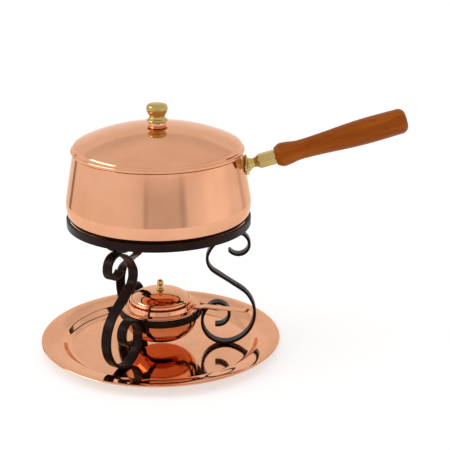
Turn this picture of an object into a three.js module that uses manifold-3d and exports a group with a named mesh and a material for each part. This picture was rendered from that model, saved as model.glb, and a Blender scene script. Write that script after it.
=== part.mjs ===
// Fondue pot set: copper pot, lid and spirit burner on a wrought-iron stand in a copper tray.
// Units are millimetres, +Z is up. The origin is the centre of the tray's underside, on the table.
// The pot's handle points along +X, and so does one of the stand's three legs.

import * as THREE from 'three';
import { mergeVertices } from 'three/addons/utils/BufferGeometryUtils.js';
import Module from 'manifold-3d';

const wasm = await Module();
wasm.setup();

// ---- Driving dimensions ----

const GAP = 0.3;             // clearance between pieces that touch
const ROUND = 36;            // facets round the large turned pieces
const SMALL_ROUND = 20;      // facets round the small turned pieces
const BURNER_ROUND = 28;     // facets round the burner's bowl, top and snuffer
const BEND_STEP = 15;        // degrees of bend for each facet of a bent sheet or bar

const TRAY_SHEET = 1.5;
const TRAY_WELL_RADIUS = 92;
const TRAY_WALL_SLOPE = 45;  // degrees
const TRAY_RIM_WIDTH = 17.35;
const TRAY_RIM_CROWN = 14;   // degrees by which the rim levels off towards its edge

const BAR_WIDTH = 11;        // wrought-iron flat bar of the legs
const BAR = 3;               // thickness of every bar in the stand
const LEG_ANGLES = [0, 120, 240];
const POT_RING_RADIUS = 95.1;
const POT_RING_HEIGHT = 8;
const POT_RING_TOP = 146.4;
const BURNER_RING_RADIUS = 43.6;
const BURNER_RING_HEIGHT = 7;
const BURNER_RING_TOP = 43.4;

const POT_SHEET = 1.5;
const POT_BOTTOM = 129.4;
const POT_FLAT_RADIUS = 63.3;
const POT_CORNER = 32;       // outside radius of the rounded corner
const WALL_LEAN = 10;        // degrees by which the wall leans inwards
const WALL_LENGTH = 48;      // straight slant height of the wall

const LID_SHEET = 1.4;
const LID_RADIUS = 88.4;
const LID_BEAD = 2.1;        // radius of the rolled bead
const LID_RISE = 25.1;       // from the bead's centre to the crown
const LID_SKIRT_DEPTH = 6;

const HANDLE_TILT = 16.4;    // degrees above level
const HANDLE_START = { x: 96, z: 201.3 };
const FERRULE_LENGTH = 20;
const FERRULE_ACROSS = 13.6; // across the hexagon's flats
const GRIP_LENGTH = 137.5;
const ROD_RADIUS = 3;

const BURNER_SHEET = 1;
const BURNER_BOTTOM = 11.2;
const BURNER_BASE_RADIUS = 16.7;
const BURNER_CORNER = 21.5;  // centreline radius of the bowl's rounded corner
const BURNER_FLANGE_RADIUS = 41.6;
const BURNER_STEP_RADIUS = 34.6;
const BURNER_OPENING = 21;
const SNUFFER_RADIUS = 32.6;
const SNUFFER_RISE = 10;
const STRIP_WIDTH = 9;
const STRIP = 1.2;
const STRIP_ANGLE = -12;     // degrees round from the pot's handle

// ---- Materials ----

const copper = new THREE.MeshStandardMaterial({ color: '#d9925f', roughness: 0.16, metalness: 1 });
const brass = new THREE.MeshStandardMaterial({ color: '#c9a552', roughness: 0.24, metalness: 1 });
const iron = new THREE.MeshStandardMaterial({ color: '#1d1a1a', roughness: 0.5, metalness: 0.3 });
const steel = new THREE.MeshStandardMaterial({ color: '#a9a9a6', roughness: 0.35, metalness: 1 });
const wood = new THREE.MeshStandardMaterial({ color: '#8a4310', roughness: 0.4, metalness: 0 });
const wool = new THREE.MeshStandardMaterial({ color: '#e4ded0', roughness: 0.95, metalness: 0 });

// ---- Shape helpers ----

const radians = THREE.MathUtils.degToRad;

// A bent path in a plane: straights and tangent arcs laid end to end. A positive turn is to the left.
// Each point carries its heading, so that the path can be thickened.
function bentPath(x, y, heading, moves) {
  const points = [{ x, y, heading: radians(heading) }];
  for (const move of moves) {
    const from = points.at(-1);
    if (move.straight) {
      const dx = move.straight * Math.cos(from.heading);
      const dy = move.straight * Math.sin(from.heading);
      points.push({ x: from.x + dx, y: from.y + dy, heading: from.heading });
      continue;
    }
    const side = Math.sign(move.turn);
    const centreX = from.x - side * move.radius * Math.sin(from.heading);
    const centreY = from.y + side * move.radius * Math.cos(from.heading);
    const steps = Math.max(2, Math.ceil(Math.abs(move.turn) / (move.step ?? BEND_STEP)));
    for (let i = 1; i <= steps; i++) {
      const heading = from.heading + radians(move.turn) * i / steps;
      points.push({
        x: centreX + side * move.radius * Math.sin(heading),
        y: centreY - side * move.radius * Math.cos(heading),
        heading,
      });
    }
  }
  return points;
}

// The points on one side of a path: the offset is to its left.
function offsetPath(path, offset) {
  return path.map((p) => new THREE.Vector2(
    p.x - offset * Math.sin(p.heading),
    p.y + offset * Math.cos(p.heading),
  ));
}

// The closed outline of a strip of the given thickness centred on the path.
function thicken(path, thickness) {
  const right = offsetPath(path, -thickness / 2);
  const left = offsetPath(path, thickness / 2);
  return [...right, ...left.reverse()];
}

// Points along an arc, by its centre, radius and first and last angle in degrees.
function arc(x, y, radius, from, to, steps) {
  return Array.from({ length: steps + 1 }, (_, i) => {
    const angle = radians(from + (to - from) * i / steps);
    return new THREE.Vector2(x + radius * Math.cos(angle), y + radius * Math.sin(angle));
  });
}

const point = (x, y) => new THREE.Vector2(x, y);

// A solid turned about +Z from a profile of (radius, height) points that runs anticlockwise.
function turned(profile, facets) {
  return new THREE.LatheGeometry(profile, facets).rotateX(Math.PI / 2);
}

// A turned solid that doesn't reach the axis, so its profile closes on itself.
function turnedRing(profile, facets) {
  return turned([...profile, profile[0].clone()], facets);
}

// A turned rod or shank along Z.
function cylinder(radius, bottom, top, facets = SMALL_ROUND) {
  return turned([point(0, bottom), point(radius, bottom), point(radius, top), point(0, top)], facets);
}

// A bar whose outline lies in the XZ plane, centred across Y.
function bar(outline, width) {
  const settings = { depth: width, bevelEnabled: false };
  const geometry = new THREE.ExtrudeGeometry(new THREE.Shape(outline), settings);
  return geometry.translate(0, 0, -width / 2).rotateX(Math.PI / 2);
}

// ---- Booleans ----

function toSolid(geometry) {
  const bare = geometry.index ? geometry.toNonIndexed() : geometry.clone();
  bare.deleteAttribute('normal');
  bare.deleteAttribute('uv');
  const merged = mergeVertices(bare, 1e-4);
  const mesh = new wasm.Mesh({
    numProp: 3,
    vertProperties: Float32Array.from(merged.attributes.position.array),
    triVerts: Uint32Array.from(merged.index.array),
  });
  mesh.merge();
  return new wasm.Manifold(mesh);
}

function toGeometry(solid) {
  const mesh = solid.getMesh();
  const geometry = new THREE.BufferGeometry();
  geometry.setAttribute('position', new THREE.BufferAttribute(mesh.vertProperties, 3));
  geometry.setIndex(new THREE.BufferAttribute(mesh.triVerts, 1));
  geometry.computeVertexNormals();
  return geometry;
}

function cut(geometry, tools) {
  const solid = tools.reduce((rest, tool) => rest.subtract(toSolid(tool)), toSolid(geometry));
  return toGeometry(solid);
}

// ---- Assembly ----

const group = new THREE.Group();

function add(name, geometry, material, parent = group) {
  const mesh = new THREE.Mesh(geometry, material);
  mesh.name = name;
  parent.add(mesh);
  return mesh;
}

function turnedGroup(angle) {
  const spoke = new THREE.Group();
  spoke.rotation.z = radians(angle);
  group.add(spoke);
  return spoke;
}

// ---- Tray ----

function trayPath() {
  const crowned = TRAY_RIM_WIDTH / radians(TRAY_RIM_CROWN);
  return bentPath(0, TRAY_SHEET / 2, 0, [
    { straight: TRAY_WELL_RADIUS },
    { radius: 12, turn: TRAY_WALL_SLOPE },
    { straight: 4 },
    { radius: 9, turn: TRAY_RIM_CROWN - TRAY_WALL_SLOPE },
    { radius: crowned, turn: -TRAY_RIM_CROWN, step: 5 },
    { radius: 1.6, turn: -60, step: 30 },
  ]);
}

add('tray', turned(thicken(trayPath(), TRAY_SHEET), ROUND), copper);

// ---- Stand ----

// The leg's centreline, from the inner end of the lower scroll to the tip of the upper one.
const LEG_TIP = { radius: 57.8, height: 24, heading: -12 };
const LEG_BENDS = [
  { radius: 12.5, turn: 234 },
  { radius: 24.2, turn: 154 },
  { radius: 34.3, turn: 130 },
  { straight: 33.2 },
  { radius: 16.9, turn: -82 },
  { radius: 39.6, turn: -51 },
  { radius: 12.7, turn: -92 },
  { radius: 11.5, turn: -158 },
];

function legPath() {
  return bentPath(LEG_TIP.radius, LEG_TIP.height, LEG_TIP.heading, LEG_BENDS);
}

// A flat bar bent on edge into a ring, with its corners eased.
function bandRing(outerRadius, top, height) {
  const inner = outerRadius - BAR;
  const bottom = top - height;
  const ease = 0.7;
  return turnedRing([
    point(inner + ease, bottom),
    point(outerRadius - ease, bottom),
    point(outerRadius, bottom + ease),
    point(outerRadius, top - ease),
    point(outerRadius - ease, top),
    point(inner + ease, top),
    point(inner, top - ease),
    point(inner, bottom + ease),
  ], ROUND);
}

// The short curved bar that carries the pot's rounded corner, from under its bottom up to the ring.
function restOutline() {
  const centreHeight = POT_BOTTOM + POT_CORNER;
  const clearance = GAP + 0.1;
  const radius = POT_CORNER + clearance + BAR / 2;
  const path = arc(POT_FLAT_RADIUS, centreHeight, radius, -88, -38, 5).map((p) => ({
    x: p.x,
    y: p.y,
    heading: Math.atan2(p.y - centreHeight, p.x - POT_FLAT_RADIUS) + Math.PI / 2,
  }));
  return thicken(path, BAR);
}

add('pot_ring', bandRing(POT_RING_RADIUS, POT_RING_TOP, POT_RING_HEIGHT), iron);
add('burner_ring', bandRing(BURNER_RING_RADIUS, BURNER_RING_TOP, BURNER_RING_HEIGHT), iron);
LEG_ANGLES.forEach((angle, i) => {
  const spoke = turnedGroup(angle);
  add(`leg_${i + 1}`, bar(thicken(legPath(), BAR), BAR_WIDTH), iron, spoke);
  add(`pot_rest_${i + 1}`, bar(restOutline(), BAR_WIDTH), iron, spoke);
});

// ---- Pot ----

function potPath() {
  return bentPath(0, POT_BOTTOM + POT_SHEET / 2, 0, [
    { straight: POT_FLAT_RADIUS },
    { radius: POT_CORNER - POT_SHEET / 2, turn: 90 + WALL_LEAN, step: 20 },
    { straight: WALL_LENGTH },
  ]);
}

const rim = potPath().at(-1);
const RIM_TOP = rim.y + (POT_SHEET / 2) * Math.sin(radians(WALL_LEAN));

// The wall's outer radius at a height, on its straight part.
function wallRadius(height) {
  const outer = rim.x + (POT_SHEET / 2) * Math.cos(radians(WALL_LEAN));
  return outer + (RIM_TOP - height) * Math.tan(radians(WALL_LEAN));
}

// A solid of everything within a distance outside the pot's wall, near the handle.
function wallCone(distance) {
  const low = 180;
  const high = 225;
  return turned([
    point(0, low),
    point(wallRadius(low) + distance, low),
    point(wallRadius(high) + distance, high),
    point(0, high),
  ], 3 * ROUND);
}

const PLATE = 3;             // handle plate's thickness
const PLATE_CENTRE = 199.4;
const PLATE_RADIUS = 10.5;   // round middle of the plate
const PLATE_LOBE = 10.8;     // from the plate's centre to each rivet
const LOBE_RADIUS = 5;
const RIVETS = [-PLATE_LOBE, PLATE_LOBE].map((across) => ({ across, height: PLATE_CENTRE }));
const RIVET_SHANK = 1.7;
const RIVET_HEAD = 2.6;

// Turns a piece made along +Z into one that points out of the wall at a rivet's place.
function atWall(geometry, { across, height }) {
  const radius = wallRadius(height);
  const side = Math.asin(across / radius);
  geometry.rotateY(Math.PI / 2 - radians(WALL_LEAN));
  geometry.translate(radius, 0, height);
  return geometry.rotateZ(side);
}

function rivet() {
  const outside = PLATE + 2 * GAP;
  const inside = -POT_SHEET - 2 * GAP;
  const dome = 1.5;
  return turned([
    point(0, inside - dome),
    point(RIVET_HEAD * 0.8, inside - dome * 0.6),
    point(RIVET_HEAD, inside),
    point(RIVET_SHANK, inside),
    point(RIVET_SHANK, outside),
    point(RIVET_HEAD, outside),
    point(RIVET_HEAD * 0.8, outside + dome * 0.6),
    point(0, outside + dome),
  ], 12);
}

function rivetHole() {
  const reach = 10;
  return cylinder(RIVET_SHANK + GAP, -reach, reach, 12);
}

const rivetHoles = RIVETS.map((place) => atWall(rivetHole(), place));

// The plate follows the wall: a round middle for the neck, with a lobe at each side for its rivet.
function platePrism() {
  const outline = [
    ...arc(-PLATE_LOBE, 0, LOBE_RADIUS, 110, 250, 6),
    ...arc(0, 0, PLATE_RADIUS, 240, 300, 4),
    ...arc(PLATE_LOBE, 0, LOBE_RADIUS, -70, 70, 6),
    ...arc(0, 0, PLATE_RADIUS, 60, 120, 4),
  ];
  const shape = new THREE.Shape(outline);
  const prism = new THREE.ExtrudeGeometry(shape, { depth: 30, bevelEnabled: false });
  prism.rotateX(Math.PI / 2).rotateZ(Math.PI / 2);
  return prism.translate(75, 0, PLATE_CENTRE);
}

function handlePlate() {
  const skin = toSolid(wallCone(GAP + PLATE)).subtract(toSolid(wallCone(GAP)));
  return cut(toGeometry(skin.intersect(toSolid(platePrism()))), rivetHoles);
}

add('pot_body', cut(turned(thicken(potPath(), POT_SHEET), ROUND), rivetHoles), copper);
add('handle_plate', handlePlate(), brass);
RIVETS.forEach((place, i) => add(`handle_rivet_${i + 1}`, atWall(rivet(), place), brass));

// ---- Handle, built along its own axis ----

const NECK_END = 4.2;
const NECK_SHANK = 7;        // length of the neck that goes inside the ferrule
const FERRULE_START = NECK_END + GAP;
const GRIP_START = FERRULE_START + FERRULE_LENGTH + GAP;
const ROD_START = NECK_END + NECK_SHANK + GAP;
const ROD_DEPTH = 100;       // how far the rod goes into the grip
const BUTT_CORNER = 7.6;     // rounding of the grip's end

// Turns a piece made along +Z so that it lies on the handle's axis.
function alongHandle(geometry) {
  geometry.rotateY(Math.PI / 2 - radians(HANDLE_TILT));
  return geometry.translate(HANDLE_START.x, 0, HANDLE_START.z);
}

function neck() {
  const shank = ROD_RADIUS + 1;
  const foot = 6.9;
  const buried = -14;
  const blank = turned([
    point(0, buried),
    point(foot, buried),
    point(foot, -2.4),
    point(5.6, -0.6),
    point(4.9, 1.5),
    point(5.6, NECK_END),
    point(shank, NECK_END),
    point(shank, NECK_END + NECK_SHANK),
    point(0, NECK_END + NECK_SHANK),
  ], SMALL_ROUND);
  return cut(alongHandle(blank), [wallCone(2 * GAP + PLATE)]);
}

// A hexagonal ferrule: conical at the pot's end, bored for the neck and the rod.
function ferrule() {
  const corner = FERRULE_ACROSS / Math.sqrt(3);
  const end = FERRULE_START + FERRULE_LENGTH;
  const tip = 5.2;
  const taper = 4;
  const cone = turned([
    point(0, FERRULE_START),
    point(tip, FERRULE_START),
    point(corner + 0.6, FERRULE_START + taper),
    point(corner + 0.6, end),
    point(0, end),
  ], SMALL_ROUND);
  const hexagon = cylinder(corner, FERRULE_START - 1, end + 1, 6);
  const bore = cylinder(ROD_RADIUS + 1 + GAP, FERRULE_START - 2, end + 2);
  const solid = toSolid(cone).intersect(toSolid(hexagon)).subtract(toSolid(bore));
  return alongHandle(toGeometry(solid));
}

// The turned grip: a bulge behind the ferrule, a waist, a long swelling and a rounded butt.
function grip() {
  const swell = new THREE.SplineCurve([
    point(9, 0),
    point(12.1, 6),
    point(11.6, 14),
    point(10, 26),
    point(10.9, 50),
    point(12.7, 78),
    point(13.3, 100),
    point(12.9, 125),
  ]);
  const profile = [
    ...swell.getPoints(10),
    ...arc(5.3, GRIP_LENGTH - BUTT_CORNER, BUTT_CORNER, 0, 84, 4),
    point(0, GRIP_LENGTH),
    point(0, ROD_DEPTH + GAP),
    point(ROD_RADIUS + GAP, ROD_DEPTH + GAP),
    point(ROD_RADIUS + GAP, 0),
  ];
  return alongHandle(turnedRing(profile, SMALL_ROUND).translate(0, 0, GRIP_START));
}

add('handle_neck', neck(), brass);
add('handle_ferrule', ferrule(), brass);
add('handle_rod', alongHandle(cylinder(ROD_RADIUS, ROD_START, GRIP_START + ROD_DEPTH, 12)), steel);
add('handle_grip', grip(), wood);

// ---- Lid ----

const BEAD_HEIGHT = RIM_TOP + GAP + LID_BEAD;
const CROWN = BEAD_HEIGHT + LID_RISE;
const DOME_EDGE = LID_RADIUS - LID_BEAD;
const LID_SCREW = 2;

// A domed lid turned from a sheet: a shallow crown, a shoulder, a bead rolled round its edge and,
// if it has one, a skirt below the bead. The crown starts at the screw hole.
function domedLid({ hole, crown, bends, sheet, bead, skirt = [], facets = ROUND }) {
  const path = bentPath(hole, crown - sheet / 2, 0, bends);
  const underside = offsetPath(path, -sheet / 2);
  const top = offsetPath(path, sheet / 2);
  return turnedRing([...underside, ...skirt, ...bead, ...top.reverse()], facets);
}

const CROWN_RADIUS = 190;

function lidShell() {
  const skirt = rim.x - POT_SHEET / 2 - 1.2;
  const skirtBottom = RIM_TOP - LID_SKIRT_DEPTH;
  return domedLid({
    hole: LID_SCREW + GAP,
    crown: CROWN,
    sheet: LID_SHEET,
    bends: [
      { radius: CROWN_RADIUS, turn: -23, step: 12 },
      { radius: 56, turn: -7.5, step: 8 },
      { radius: 6.5, turn: -48, step: 24 },
    ],
    skirt: [
      point(skirt - LID_SHEET, BEAD_HEIGHT - 0.4),
      point(skirt - LID_SHEET, skirtBottom),
      point(skirt, skirtBottom),
      point(skirt, RIM_TOP + GAP),
    ],
    bead: arc(DOME_EDGE, BEAD_HEIGHT, LID_BEAD, -90, 100, 4),
  });
}

const BOSS_TOP = CROWN + 3.3;
const BOSS_RADIUS = 8.7;
const KNOB_BASE = BOSS_TOP + GAP;
const KNOB_HEIGHT = 18.4;
const KNOB_BORE = 8;

// The spacer between the lid and its knob, dished to sit on the crown.
function lidBoss() {
  const hole = LID_SCREW + GAP;
  const foot = BOSS_RADIUS + 0.6;
  const turn = -THREE.MathUtils.radToDeg(Math.asin((foot - hole) / CROWN_RADIUS));
  const saucer = bentPath(hole, CROWN + GAP, 0, [{ radius: CROWN_RADIUS, turn }]);
  return turnedRing([
    ...offsetPath(saucer, 0),
    point(BOSS_RADIUS, CROWN + 1.2),
    point(BOSS_RADIUS, BOSS_TOP),
    point(hole, BOSS_TOP),
  ], SMALL_ROUND);
}

// A turned knob: flared foot, narrow waist and rounded head, bored from below for its screw.
function lidKnob() {
  const bore = LID_SCREW + GAP;
  const profile = [
    point(bore, 0),
    point(9.6, 0),
    point(11, 0.9),
    point(10.5, 1.9),
    point(8.8, 3.2),
    point(7.9, 4.8),
    point(8.3, 6.7),
    point(9.6, 8.7),
    ...arc(6, 13.3, 5, -26, 60, 3),
    point(6, KNOB_HEIGHT - 0.2),
    point(0, KNOB_HEIGHT),
    point(0, KNOB_BORE),
    point(bore, KNOB_BORE),
  ];
  return turnedRing(profile, SMALL_ROUND).translate(0, 0, KNOB_BASE);
}

// A round-headed screw that points up, with the underside of its plate at the given height.
function screwUp(shank, head, plateUnderside, tip) {
  const seat = plateUnderside - GAP;
  return turned([
    point(0, seat - head * 0.6),
    point(head * 0.75, seat - head * 0.4),
    point(head, seat),
    point(shank, seat),
    point(shank, tip),
    point(0, tip),
  ], 12);
}

add('lid_shell', lidShell(), copper);
add('lid_boss', lidBoss(), copper);
add('lid_knob', lidKnob(), brass);
add('lid_screw', screwUp(LID_SCREW, 4, CROWN - LID_SHEET - 0.1, KNOB_BASE + KNOB_BORE - 1), steel);

// ---- Burner ----

const FLANGE_BOTTOM = BURNER_RING_TOP + GAP;
const FLANGE_TOP = FLANGE_BOTTOM + BURNER_SHEET;
const PLATE_BOTTOM = FLANGE_TOP + GAP;
const STEP_TOP = PLATE_BOTTOM + BURNER_SHEET + 4.4;

function burnerBowl() {
  const turn = 84;
  const corner = BURNER_CORNER * (1 - Math.cos(radians(turn)));
  const wallHeight = FLANGE_BOTTOM - BURNER_BOTTOM - BURNER_SHEET / 2 - corner;
  const path = bentPath(0, BURNER_BOTTOM + BURNER_SHEET / 2, 0, [
    { straight: BURNER_BASE_RADIUS },
    { radius: BURNER_CORNER, turn, step: 21 },
    { straight: wallHeight / Math.sin(radians(turn)) },
  ]);
  const wall = offsetPath(path, -BURNER_SHEET / 2);
  const inside = offsetPath(path, BURNER_SHEET / 2).reverse();
  const mouth = inside.shift();
  const shoulder = wall.pop();
  return turned([
    ...wall,
    point(shoulder.x, FLANGE_BOTTOM),
    point(BURNER_FLANGE_RADIUS, FLANGE_BOTTOM),
    point(BURNER_FLANGE_RADIUS, FLANGE_TOP),
    point(mouth.x, FLANGE_TOP),
    ...inside,
  ], BURNER_ROUND);
}

const STRIP_START = BURNER_STEP_RADIUS + 0.9;
const STRIP_RIVETS = [-2.6, 2.6];
const STRIP_RIVET_RADIUS = 0.8;
const STRIP_RIVET_REACH = BURNER_STEP_RADIUS + 2.6;

// Puts a piece made on +X at the burner strip's place round the axis.
function atStrip(geometry, across = 0) {
  return geometry.translate(STRIP_RIVET_REACH, across, 0).rotateZ(radians(STRIP_ANGLE));
}

function stripHoles() {
  const radius = STRIP_RIVET_RADIUS + GAP;
  return STRIP_RIVETS.map((across) => atStrip(cylinder(radius, FLANGE_BOTTOM, STEP_TOP + 5, 10), across));
}

// The burner's top: a flat edge on the bowl's flange, a step up and a lipped opening.
function burnerTop() {
  const low = PLATE_BOTTOM;
  const high = STEP_TOP - BURNER_SHEET;
  const blank = turnedRing([
    point(BURNER_OPENING, high),
    point(BURNER_STEP_RADIUS - 1.4, high),
    point(BURNER_STEP_RADIUS, low),
    point(BURNER_FLANGE_RADIUS, low),
    point(BURNER_FLANGE_RADIUS, low + BURNER_SHEET),
    point(BURNER_STEP_RADIUS + 0.7, low + BURNER_SHEET),
    point(BURNER_STEP_RADIUS - 0.5, STEP_TOP),
    point(BURNER_OPENING + 1, STEP_TOP),
    point(BURNER_OPENING + 1, STEP_TOP + 1),
    point(BURNER_OPENING, STEP_TOP + 1),
  ], BURNER_ROUND);
  return cut(blank, stripHoles());
}

const STRIP_UNDERSIDE = PLATE_BOTTOM + BURNER_SHEET + GAP;

// The strip handle: flat where it is riveted, a joggle down past the ring, and a turned-down end.
function stripHandle() {
  const path = bentPath(STRIP_START, STRIP_UNDERSIDE + STRIP / 2, 0, [
    { straight: 8 },
    { radius: 4, turn: 16 },
    { straight: 3 },
    { radius: 4, turn: -18 },
    { straight: 45.5 },
    { radius: 3, turn: -62 },
    { straight: 3 },
  ]);
  const strip = bar(thicken(path, STRIP), STRIP_WIDTH).rotateZ(radians(STRIP_ANGLE));
  return cut(strip, stripHoles());
}

function stripRivet() {
  const under = PLATE_BOTTOM - GAP;
  const over = STRIP_UNDERSIDE + STRIP + GAP;
  const head = 1.5;
  return turned([
    point(0, under - 0.8),
    point(head * 0.8, under - 0.6),
    point(head, under),
    point(STRIP_RIVET_RADIUS, under),
    point(STRIP_RIVET_RADIUS, over),
    point(head, over),
    point(head * 0.8, over + 0.6),
    point(0, over + 0.8),
  ], 10);
}

const GAUZE_RADIUS = 26;
const GAUZE = 0.8;
const PAD_TOP = STEP_TOP - BURNER_SHEET - 2 * GAP - GAUZE;
const PAD_HEIGHT = 14;

function fuelPad() {
  return cylinder(GAUZE_RADIUS, PAD_TOP - PAD_HEIGHT, PAD_TOP, SMALL_ROUND);
}

add('burner_bowl', burnerBowl(), copper);
add('burner_top', burnerTop(), copper);
add('burner_handle', stripHandle(), copper);
STRIP_RIVETS.forEach((across, i) => add(`burner_rivet_${i + 1}`, atStrip(stripRivet(), across), copper));
add('burner_gauze', cylinder(GAUZE_RADIUS, PAD_TOP + GAP, PAD_TOP + GAP + GAUZE), steel);
add('burner_pad', fuelPad(), wool);

// ---- Snuffer ----

const SNUFFER_BEAD = 2.2;
const SNUFFER_SHEET = 1;
const SNUFFER_EDGE = SNUFFER_RADIUS - SNUFFER_BEAD;
const SNUFFER_BASE = STEP_TOP + GAP + SNUFFER_BEAD;
const SNUFFER_CROWN = SNUFFER_BASE + SNUFFER_RISE;
const SNUFFER_SCREW = 1.5;

function snufferLid() {
  return domedLid({
    hole: SNUFFER_SCREW + GAP,
    crown: SNUFFER_CROWN,
    sheet: SNUFFER_SHEET,
    bends: [
      { radius: 75, turn: -14, step: 7 },
      { radius: 22, turn: -26, step: 13 },
      { radius: 5, turn: -35, step: 18 },
    ],
    bead: arc(SNUFFER_EDGE, SNUFFER_BASE, SNUFFER_BEAD, -150, 90, 4),
    facets: BURNER_ROUND,
  });
}

// The snuffer's knob: a small collar with a ball on it.
function snufferKnob() {
  const bore = SNUFFER_SCREW + GAP;
  const ball = 3.6;
  const ballCentre = 7.5;
  const depth = 5;
  const profile = [
    point(bore, 0),
    point(4, 0),
    point(4, 1.2),
    point(2.6, 2.4),
    point(2.3, 3.6),
    ...arc(0, ballCentre, ball, -45, 90, 6),
    point(0, depth),
    point(bore, depth),
  ];
  return turnedRing(profile, 16).translate(0, 0, SNUFFER_CROWN + GAP);
}

const SNUFFER_SCREW_TIP = SNUFFER_CROWN + GAP + 4;

add('snuffer_lid', snufferLid(), copper);
add('snuffer_knob', snufferKnob(), brass);
add('snuffer_screw', screwUp(SNUFFER_SCREW, 2.8, SNUFFER_CROWN - SNUFFER_SHEET - 0.1, SNUFFER_SCREW_TIP), steel);

export default group;
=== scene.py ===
"""Fondue pot set: the looks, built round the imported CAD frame.

Lengths in this file are millimetres until a mesh is made, which is in metres like the frame.
The origin is the centre of the tray's underside, +X points along the pot's handle, +Z is up.
"""

import math

import bmesh
import bpy
from mathutils import Matrix, Vector, noise


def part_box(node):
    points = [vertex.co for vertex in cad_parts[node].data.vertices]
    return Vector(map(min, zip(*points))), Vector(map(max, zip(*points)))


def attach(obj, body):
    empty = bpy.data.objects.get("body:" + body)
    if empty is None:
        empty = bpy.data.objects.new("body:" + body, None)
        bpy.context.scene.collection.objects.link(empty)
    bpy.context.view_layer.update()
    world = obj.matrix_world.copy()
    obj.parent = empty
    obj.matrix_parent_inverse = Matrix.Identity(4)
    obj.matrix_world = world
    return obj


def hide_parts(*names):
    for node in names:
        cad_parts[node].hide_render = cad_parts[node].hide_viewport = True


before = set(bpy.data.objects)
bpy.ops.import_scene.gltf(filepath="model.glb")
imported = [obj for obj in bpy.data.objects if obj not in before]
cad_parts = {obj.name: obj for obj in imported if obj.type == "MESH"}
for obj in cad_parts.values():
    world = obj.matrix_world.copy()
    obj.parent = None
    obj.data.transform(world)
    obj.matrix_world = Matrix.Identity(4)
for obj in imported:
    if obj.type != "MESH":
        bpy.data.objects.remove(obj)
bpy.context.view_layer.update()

MM = 0.001
ON_AXIS = 1e-6         # a radius below this is a point on the axis


def low(node):
    """The lowest corner of a CAD node's box, in millimetres."""
    return Vector(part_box(node)[0]) / MM


def high(node):
    """The highest corner of a CAD node's box, in millimetres."""
    return Vector(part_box(node)[1]) / MM


# ---- Driving dimensions ----

GAP = 0.3
LARGE_TURNS = 256      # facets round the tray, the rings, the pot and the lid
TURNS = 192            # facets round the burner and the snuffer
SMALL_TURNS = 96       # facets round the small turned pieces

TRAY_SHEET = 1.5
TRAY_WELL_RADIUS = 92
TRAY_FOOT_BEND = 12
TRAY_WALL = 4
TRAY_WALL_SLOPE = 45   # degrees
TRAY_TOP_BEND = 9
TRAY_RIM_WIDTH = 17.35
TRAY_RIM_CROWN = 14    # degrees by which the rim levels off towards its edge
TRAY_EDGE_BEND = 1.6
TRAY_EDGE_TURN = 60    # degrees

BAR_WIDTH = 11
BAR = 3
BAR_CORNER = 0.9
LEG_ANGLES = (0, 120, 240)

POT_SHEET = 1.5
POT_FLAT_RADIUS = 63.3
POT_CORNER = 32
WALL_LEAN = 10
WALL_LENGTH = 48

LID_SHEET = 1.4
LID_BEAD = 2.1
LID_SKIRT_DEPTH = 6
CROWN_RADIUS = 190
LID_SHOULDER = 70      # where the crown's curve gives way to the shoulder
SCREW_HOLE = 2.3

HANDLE_TILT = 16.4
HANDLE_START = Vector((96, 0, 201.3))
FERRULE_START = 4.5
FERRULE_LENGTH = 20
FERRULE_ACROSS = 13.6
GRIP_START = FERRULE_START + FERRULE_LENGTH + GAP
GRIP_LENGTH = 137

BURNER_SHEET = 1
BURNER_BASE_RADIUS = 16.7
BURNER_CORNER = 21.5
BURNER_FLANGE_RADIUS = 41.6
BURNER_STEP_RADIUS = 34.6
BURNER_OPENING = 21
STRIP_WIDTH = 9
STRIP = 1.2
STRIP_ANGLE = -12


# ---- Outlines ----

def bent_path(x, y, heading, moves, step=3.0, run=4.0):
    """Points (x, y, heading in radians) of straights and tangent arcs laid end to end.

    A move is (length,) for a straight and (radius, turn in degrees) for an arc. A positive turn is to the
    left. An arc has a point for each step in degrees and a straight one for each run of its length.
    """
    made = [(x, y, math.radians(heading))]
    for move in moves:
        x, y, angle = made[-1]
        if len(move) == 1:
            count = max(1, math.ceil(move[0] / run))
            for i in range(1, count + 1):
                length = move[0] * i / count
                made.append((x + length * math.cos(angle), y + length * math.sin(angle), angle))
            continue
        radius, turn = move
        side = math.copysign(1, turn)
        centre_x = x - side * radius * math.sin(angle)
        centre_y = y + side * radius * math.cos(angle)
        count = max(4, math.ceil(abs(turn) / step))
        for i in range(1, count + 1):
            now = angle + math.radians(turn) * i / count
            out_x, out_y = side * radius * math.sin(now), side * radius * math.cos(now)
            made.append((centre_x + out_x, centre_y - out_y, now))
    return made


def offset(path, distance):
    """The points beside a path, to its left for a positive distance."""
    return [Vector((x - distance * math.sin(a), y + distance * math.cos(a))) for x, y, a in path]


def thicken(path, thickness):
    """The closed outline of a sheet of the given thickness centred on the path."""
    return offset(path, -thickness / 2) + offset(path, thickness / 2)[::-1]


def arc(x, y, radius, start, end, steps=12):
    """Points along an arc from its centre, radius and first and last angle in degrees."""
    angles = [math.radians(start + (end - start) * i / steps) for i in range(steps + 1)]
    return [Vector((x + radius * math.cos(a), y + radius * math.sin(a))) for a in angles]


def points(*pairs):
    """The given pairs as vectors."""
    return [Vector(pair) for pair in pairs]


def dome(radius, base, height, steps=5):
    """Points from the edge of a low dome to its top on the axis. With a negative height it hangs down."""
    angles = [math.pi / 2 * i / steps for i in range(steps, -1, -1)]
    return [Vector((radius * math.sin(a), base + height * math.cos(a))) for a in angles]


def spokes(count):
    """Equally spaced angles round a full turn."""
    return [2 * math.pi * k / count for k in range(count)]


def circle(radius, height, count):
    """Points round a level circle about +Z."""
    return [Vector((radius * math.cos(a), radius * math.sin(a), height)) for a in spokes(count)]


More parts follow.
